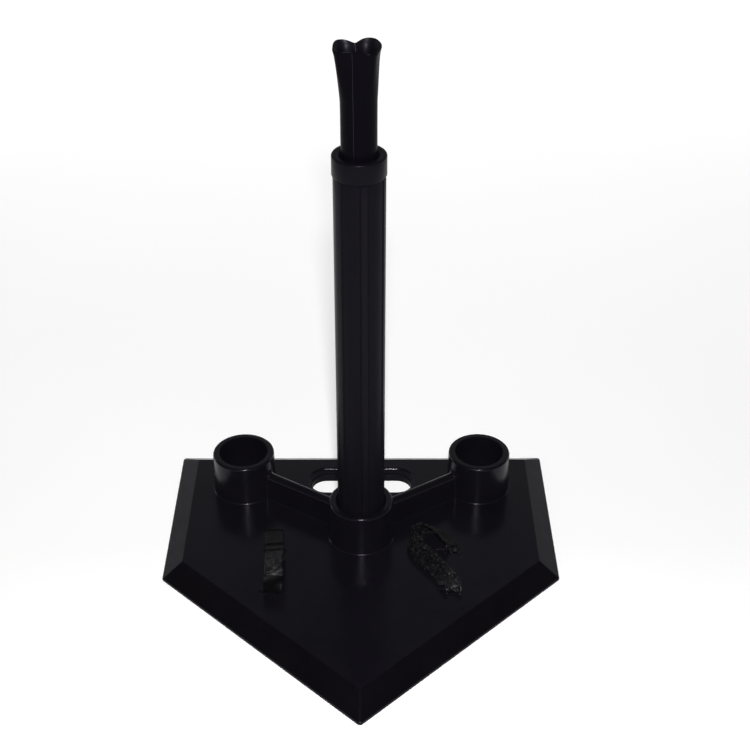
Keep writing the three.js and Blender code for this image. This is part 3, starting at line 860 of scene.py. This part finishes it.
def webbing(frames, trim=0):
    return strip(frames, STRAP_WIDTH, webbing_back, webbing_face, 60, trim)


def join(parts):
    verts, faces = [], []
    for part_verts, part_faces in parts:
        base = len(verts)
        verts += part_verts
        faces += [tuple(base + i for i in face) for face in part_faces]
    return verts, faces


def thread(points, radius, sides=3):
    """A thin closed tube along a few points."""
    points = np.array(points)
    along = np.gradient(points, axis=0) + 1e-7      # a fibre pressed against an edge still has a direction
    along /= np.linalg.norm(along, axis=1)[:, None]
    up = np.array([0.31, 0.52, 0.8])
    verts = []
    for p, a in zip(points, along):
        x = np.cross(a, up)
        x /= np.linalg.norm(x)
        y = np.cross(a, x)
        for k in range(sides):
            turn = 2 * math.pi * k / sides
            verts.append((p + radius * (math.cos(turn) * x + math.sin(turn) * y)).tolist())
    faces = ring_faces(len(points), sides)
    faces.append(tuple(range(sides)))
    faces.append(tuple((len(points) - 1) * sides + k for k in range(sides)))
    return verts, faces


def place_on(frames, u, s, height):
    row = min(int(np.searchsorted(frames["s"], s)), len(frames["s"]) - 1)
    return curled(frames, np.array([row]), np.array([u]), np.array([height]))[0]


def pile(frames, width, base, count, seed, reach, rise, radius, start=0.0, end=1.0):
    """Small curled fibres standing on a face, both feet sunk in it."""
    rng = random.Random(seed)
    length = frames["s"][-1]
    parts = []
    for _ in range(count):
        u = rng.uniform(-width / 2, width / 2)
        s = length * rng.uniform(start, end)
        heading = rng.uniform(0, 2 * math.pi)
        far = reach * rng.uniform(0.5, 1.3)
        tall = rise * rng.uniform(0.4, 1.3)
        bend = rng.uniform(-0.5, 0.5)
        curve = []
        for share, lift in ((0, -0.25), (0.15, 0.6), (0.5, 1.0), (0.85, 0.6), (1.0, -0.25)):
            turn = heading + bend * share
            at_u = max(-width / 2, min(width / 2, u + far * share * math.cos(turn)))
            at_s = min(length, max(0, s + far * share * math.sin(turn)))
            curve.append(place_on(frames, at_u, at_s, base + (tall * lift if lift > 0 else lift)))
        parts.append(thread(curve, radius * rng.uniform(0.7, 1.2)))
    return parts


def hooks(frames, width, base):
    """Rows of stiff little hooks that lean along the tape."""
    pitch_u, pitch_s, tall = 1.25, 1.1, 0.75
    columns = int((width - 1.2) / pitch_u)
    parts = []
    for i in range(1, int(frames["s"][-1] / pitch_s)):
        for j in range(columns + 1):
            u = (j - columns / 2) * pitch_u
            lean = 1 if j % 2 else -1
            curve = [place_on(frames, u, i * pitch_s + lean * ds, base + h)
                     for ds, h in ((-0.15, -0.2), (-0.05, tall * 0.6), (0.2, tall), (0.45, tall * 0.75))]
            parts.append(thread(curve, 0.11))
    return parts


def stitches(frames, width, height):
    """Lockstitch round the four sides of a patch."""
    inset, pitch, length = 1.7, 2.9, 2.0
    total = frames["s"][-1]
    arch = ((0, -0.3), (0.35, 0.12), (length - 0.35, 0.12), (length, -0.3))
    parts = []
    for u in (-width / 2 + inset, width / 2 - inset):
        for i in range(int((total - 2 * inset) / pitch)):
            s = inset + i * pitch
            parts.append(thread([place_on(frames, u, s + d, height + h) for d, h in arch], 0.26, 6))
    for s in (inset, total - inset):
        for i in range(int((width - 2 * inset) / pitch)):
            u = -width / 2 + inset + 0.6 + i * pitch
            parts.append(thread([place_on(frames, u + d, s, height + h) for d, h in arch], 0.26, 6))
    return parts


def tail_path(slot_y, degrees, points):
    """Stations of a left tail turned from straight back: [across, back, up, side direction]."""
    sin, cos = math.sin(math.radians(degrees)), math.cos(math.radians(degrees))
    stations = []
    for across, back, up, (ax, ay, az) in points:
        place = (-STRAP_X - back * sin + across, slot_y + back * cos, HINGE + up)
        stations.append((place, (ax * cos - ay * sin, ax * sin + ay * cos, az)))
    return stations


# The straps as they lie: the left one is open and its front tail folds over at a slant, while
# the right one is closed on itself in a leaning loop.
LEFT_FRONT = tail_path(FRONT_SLOT, 1, [
    (0, 0, -0.3, (1, 0, 0)), (1, 0, 8, (0.97, 0.2, 0.04)), (2.2, -1.5, 15.5, (0.9, 0.38, 0.12)),
    (2.6, 2.5, 21.2, (0.86, 0.36, 0.32)), (2.4, 11, 22.6, (0.9, 0.14, 0.38)),
    (2.2, 28, 18.5, (0.95, 0.06, 0.26)), (2.2, 44, 11, (0.985, 0.04, 0.12)),
    (2.2, 57, 5.5, (1, 0.04, 0.02)),
])
LEFT_BACK = tail_path(BACK_SLOT, 5, [
    (0, 0, -0.3, (1, 0, 0)), (0, 0, 2, (1, 0, 0)), (0, 3, 4.2, (1, 0, 0)), (0, 10, 4.4, (1, 0, 0)),
    (0, 21, 3.2, (1, 0, 0)), (0, 31, 2.4, (1, 0, 0)),
])
RIGHT_FRONT = [
    ((STRAP_X, FRONT_SLOT, 18.5), (1, 0, 0)), ((95, FRONT_SLOT, 21.8), (1, 0, 0.05)),
    ((93.4, -86.5, 24.2), (0.88, 0.12, 0.32)), ((87.2, -75, 26), (0.74, 0.3, 0.58)),
    ((75, -56.4, 26.6), (0.56, 0.6, 0.58)), ((64.8, -41, 27), (0.54, 0.62, 0.59)),
    ((57, -26, 28.2), (0.26, 0.62, 0.72)), ((56.4, -16.5, 29), (0.08, 0.24, 0.97)),
    ((67, -6.4, 29.4), (0.1, -0.1, 0.99)),
]
RIGHT_BACK = [
    ((STRAP_X, BACK_SLOT, 18.5), (1, 0, 0)), ((96, BACK_SLOT, 21.2), (0.93, 0.15, -0.3)),
    ((96, -25, 23.6), (0.7, 0.42, -0.58)), ((89, -12.5, 25.6), (0.58, 0.55, -0.64)),
    ((80, -4.5, 27.6), (0.42, 0.6, -0.68)), ((70, -2.2, 29.2), (0.15, 0.35, -0.92)),
]
TAILS = {
    ("left", "front"): (LEFT_FRONT, (-1.1, 0, 14, 0), "left_front_tail"),
    ("left", "back"): (LEFT_BACK, (0, 0.35, 8, 0), "left_back_tail"),
    ("right", "front"): (RIGHT_FRONT, (-1.5, 0, 15, 3.5), "base"),
    ("right", "back"): (RIGHT_BACK, (-1.45, 0.5, 14, 3.5), "base"),
}


def strap_run(side, direction):
    """The stretch of strap under the plate, turned up into both slots."""
    path = [(FRONT_SLOT, RUN_TOP), (FRONT_SLOT, RUN_LOW + RUN_TURN)]
    path += arc((FRONT_SLOT + RUN_TURN, RUN_LOW + RUN_TURN), RUN_TURN, 180, 270, 6)
    path += arc((BACK_SLOT - RUN_TURN, RUN_LOW + RUN_TURN), RUN_TURN, 270, 360, 6)
    path += [(BACK_SLOT, RUN_LOW + RUN_TURN), (BACK_SLOT, RUN_TOP)]
    frames = band([((direction * STRAP_X, y, z), (1, 0, 0)) for y, z in path], FLAT)
    piece = add_mesh(side + "_strap_webbing", *webbing(frames), "base", "webbing", [side + "_strap_run"], 50)
    paint(piece, WEBBING)


def strap_tail(side, end, mat, fuzz=0, seed=0, trim=0):
    """Webbing from a slot to its tip, with worn fibres on its face where fuzz is given."""
    stations, curl, body = TAILS[side, end]
    frames = band(stations, curl)
    parts = [webbing(frames, trim)]
    if fuzz:
        parts += pile(frames, STRAP_WIDTH, WEB_HALF, fuzz, seed, 1.7, 0.8, 0.1, 0.04, 0.99)
    node = side + "_strap_" + end + "_tail"
    piece = add_mesh(side + "_" + end + "_webbing", *join(parts), body, "webbing", [node], 50)
    paint(piece, mat)
    return piece


def strap_patch(side, end, kind, mat, first, last, seed=0):
    """A stitched loop or hook patch over a share of a tail's length."""
    stations, curl, body = TAILS[side, end]
    frames = band(stations, curl, first, last)
    width = STRAP_WIDTH - 2
    base = STRAP_THICK / 2 + 0.45
    top = base + 0.55

    def upper(u, s):
        return base + 0.55 * rounded_edge(u, width, 0.5) + 0.05 * np.sin(u * 5) * np.sin(s * 5)

    def lower(u, s):
        return np.full_like(u, base)

    parts = [strip(frames, width, lower, upper, 44)]
    if kind == "loop":
        parts += pile(frames, width - 0.6, top, 1500, seed, 2.0, 0.9, 0.11)
    else:
        parts += hooks(frames, width - 3.4, top)
    name, slot = side + "_" + kind + "_tape", kind + "_tape"
    patch = add_mesh(name, *join(parts), body, slot, [side + "_" + kind + "_patch"], 50)
    paint(patch, mat)
    seam = add_mesh(name + "_stitches", *join(stitches(frames, width, top)), body, slot, (), 50)
    paint(seam, THREAD)


def root_glints(piece, seed):
    """Paler tape with painted glints near the front slot, with a ragged boundary."""
    piece.data.materials.append(LOOP_TAPE_GLINTS)
    scatter = random.Random(seed)
    for face in piece.data.polygons:
        # Faces nearer the slot than a ragged line take the loop tape's painted glints.
        if face.center.y / MM < scatter.uniform(-90, -62):
            face.material_index = 1


strap_run("left", -1)
strap_run("right", 1)
strap_tail("left", "front", WEBBING)
strap_tail("left", "back", WEBBING, trim=3.5)
# The right strap's tails and loop patch take the darker speckled tape: painted shade, as this strap faces
# away from the light, and painted glints.
root_glints(strap_tail("right", "front", BAND_TAPE_SHADE_GLINTS, fuzz=4000, seed=5), 11)
strap_tail("right", "back", BAND_TAPE_SHADE_GLINTS, fuzz=900, seed=6)
strap_patch("left", "front", "loop", LOOP_TAPE_GLINTS, 0.38, 0.88, seed=2)
strap_patch("left", "back", "hook", HOOK_TAPE, 0.45, 0.89)
strap_patch("right", "front", "loop", BAND_TAPE_SHADE_GLINTS, 0.35, 0.7, seed=3)
strap_patch("right", "back", "hook", HOOK_TAPE, 0.35, 0.85)
